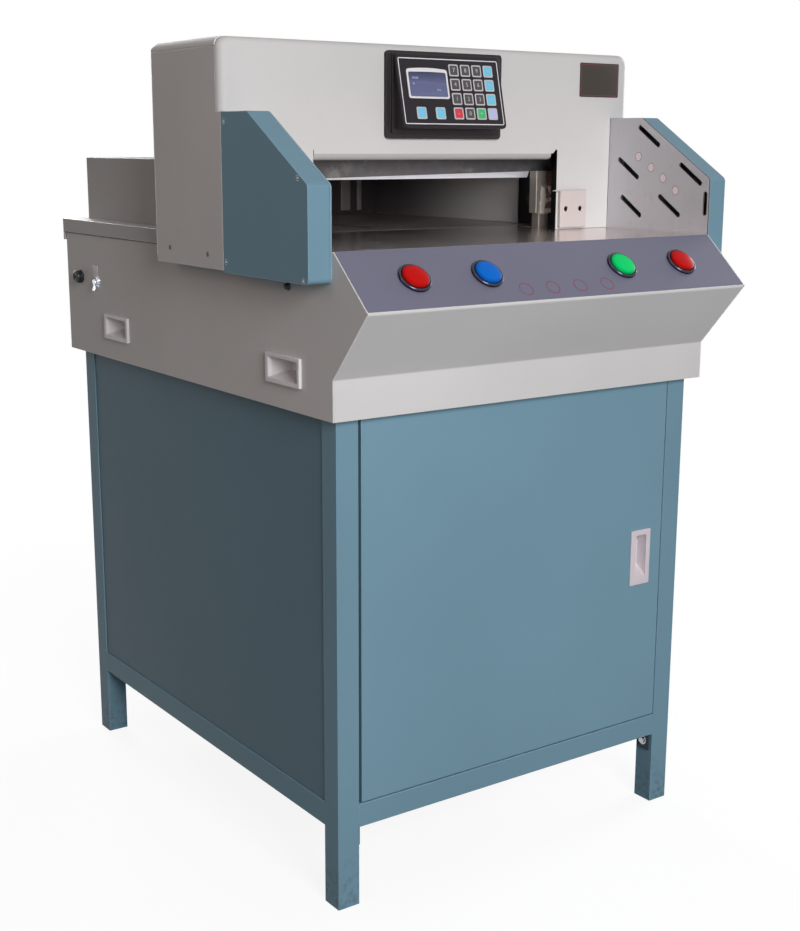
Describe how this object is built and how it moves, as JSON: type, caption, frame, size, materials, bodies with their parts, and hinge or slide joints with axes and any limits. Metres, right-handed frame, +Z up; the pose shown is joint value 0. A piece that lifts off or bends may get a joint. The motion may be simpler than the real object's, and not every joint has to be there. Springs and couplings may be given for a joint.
{
  "type": "programmable paper cutter",
  "caption": "Floor-standing electric guillotine for paper: cabinet stand, steel table with side guards, head with knife and clamp, back gauge tunnel and keypad console.",
  "frame": {"origin": "on the floor, under the middle of the machine's overall width and depth", "axes": "+Z up, -Y towards the operator, +X to the operator's right"},
  "size_m": [0.81, 1.02, 1.3],
  "materials": {
    "blue_paint": "grey-blue powder coat, fine texture, satin",
    "grey_paint": "light warm-grey powder coat, fine texture, satin",
    "panel_paint": "violet-grey enamel, satin",
    "white_plastic": "moulded, satin",
    "black_plastic": "moulded, satin",
    "black_board": "printed membrane, semi-gloss",
    "chrome": "bright plated",
    "brushed_steel": "brushed, bare",
    "table_steel": "ground and polished, bare",
    "blade_steel": "ground, bright bevel",
    "cast_iron": "painted dark grey, machined faces",
    "red_plastic": "translucent moulding, glossy",
    "blue_plastic": "translucent moulding, glossy",
    "green_plastic": "translucent moulding, glossy",
    "screen": "display window, glossy",
    "stick_plastic": "soft polypropylene, matt"
  },
  "bodies": {
    "machine": {"stand_side_left": "blue_paint", "stand_side_right": "blue_paint", "lower_rail_front": "blue_paint", "lower_rail_rear": "blue_paint", "cabinet_panel_left": "blue_paint", "cabinet_panel_right": "blue_paint", "cabinet_panel_rear": "blue_paint", "cabinet_floor": "blue_paint", "rail_bracket_left": "blue_paint", "rail_bracket_right": "blue_paint", "door_hinge_pin": "brushed_steel", "body_side_left": "grey_paint", "body_side_right": "grey_paint", "front_skirt": "grey_paint", "body_pan": "grey_paint", "work_table": "table_steel", "cutting_stick": "stick_plastic", "rear_lid": "grey_paint", "rear_box": "grey_paint", "carry_cup_left_front": "white_plastic", "carry_cup_left_rear": "white_plastic", "carry_cup_right_front": "white_plastic", "carry_cup_right_rear": "white_plastic", "cable_gland": "black_plastic", "toggle_switch": "chrome", "guard_cable_grommet": "black_plastic", "button_panel": "panel_paint", "bezel_clamp": "chrome", "bezel_gauge": "chrome", "bezel_start": "chrome", "bezel_cut": "chrome", "head_front": "grey_paint", "head_side_left": "grey_paint", "head_side_right": "grey_paint", "head_top": "grey_paint", "guard_left": "blue_paint", "guard_plate_left": "brushed_steel", "guard_right": "blue_paint", "guard_plate_right": "brushed_steel", "console_base": "black_plastic", "key_panel": "black_board", "console_screen": "screen", "machine_frame": "cast_iron", "drive_motor": "cast_iron", "gauge_motor": "black_plastic", "side_lay": "white_plastic"},
    "door": {"cabinet_door": "blue_paint", "door_handle": "white_plastic"},
    "clamp_button": {"button_clamp": "red_plastic"},
    "gauge_button": {"button_gauge": "blue_plastic"},
    "start_button": {"button_start": "green_plastic"},
    "cut_button": {"button_cut": "red_plastic"},
    "lever": {"toggle_lever": "chrome"},
    "knife": {"knife_carrier": "cast_iron", "knife_blade": "blade_steel", "pull_rod": "brushed_steel"},
    "crank": {"crank_wheel": "cast_iron"},
    "clamp": {"clamp_beam": "cast_iron"},
    "gauge": {"back_gauge": "brushed_steel"},
    "screw": {"lead_screw": "brushed_steel"}
  },
  "joints": [
    {"name": "door_hinge", "type": "hinge", "parent": "machine", "child": "door", "pos_m": [-0.299, -0.395, 0.466], "axis": [0, 0, -1], "range_deg": [0, 110]},
    {"name": "clamp_button_press", "type": "slide", "parent": "machine", "child": "clamp_button", "axis": [0, 0.6714, -0.7411], "range_m": [0, 0.004], "stiffness_N_per_m": 800, "springref_m": -0.003},
    {"name": "gauge_button_press", "type": "slide", "parent": "machine", "child": "gauge_button", "axis": [0, 0.6714, -0.7411], "range_m": [0, 0.004], "stiffness_N_per_m": 800, "springref_m": -0.003},
    {"name": "start_button_press", "type": "slide", "parent": "machine", "child": "start_button", "axis": [0, 0.6714, -0.7411], "range_m": [0, 0.004], "stiffness_N_per_m": 800, "springref_m": -0.003},
    {"name": "cut_button_press", "type": "slide", "parent": "machine", "child": "cut_button", "axis": [0, 0.6714, -0.7411], "range_m": [0, 0.004], "stiffness_N_per_m": 800, "springref_m": -0.003},
    {"name": "switch_lever", "type": "hinge", "parent": "machine", "child": "lever", "pos_m": [-0.3733, 0.365, 0.9015], "axis": [0, 1, 0], "range_deg": [0, 64]},
    {"name": "knife_slide", "type": "slide", "parent": "machine", "child": "knife", "axis": [-0.1736, 0, -0.9848], "range_m": [0, 0.08601]},
    {"name": "crank_turn", "type": "hinge", "parent": "machine", "child": "crank", "pos_m": [0.27, -0.078, 0.85], "axis": [0, -1, 0], "range_deg": [0, 180]},
    {"name": "clamp_slide", "type": "slide", "parent": "machine", "child": "clamp", "axis": [0, 0, -1], "range_m": [0, 0.0875]},
    {"name": "gauge_slide", "type": "slide", "parent": "machine", "child": "gauge", "axis": [0, -1, 0], "range_m": [0, 0.44]},
    {"name": "screw_turn", "type": "hinge", "parent": "machine", "child": "screw", "pos_m": [0, 0.2, 0.95], "axis": [0, -1, 0], "range_deg": [0, 15840.5]}
  ],
  "couplings": [
    {"joint": "crank_turn", "follows": "knife_slide", "rad_per_m": 36.527},
    {"joint": "screw_turn", "follows": "gauge_slide", "rad_per_m": 628.32}
  ]
}
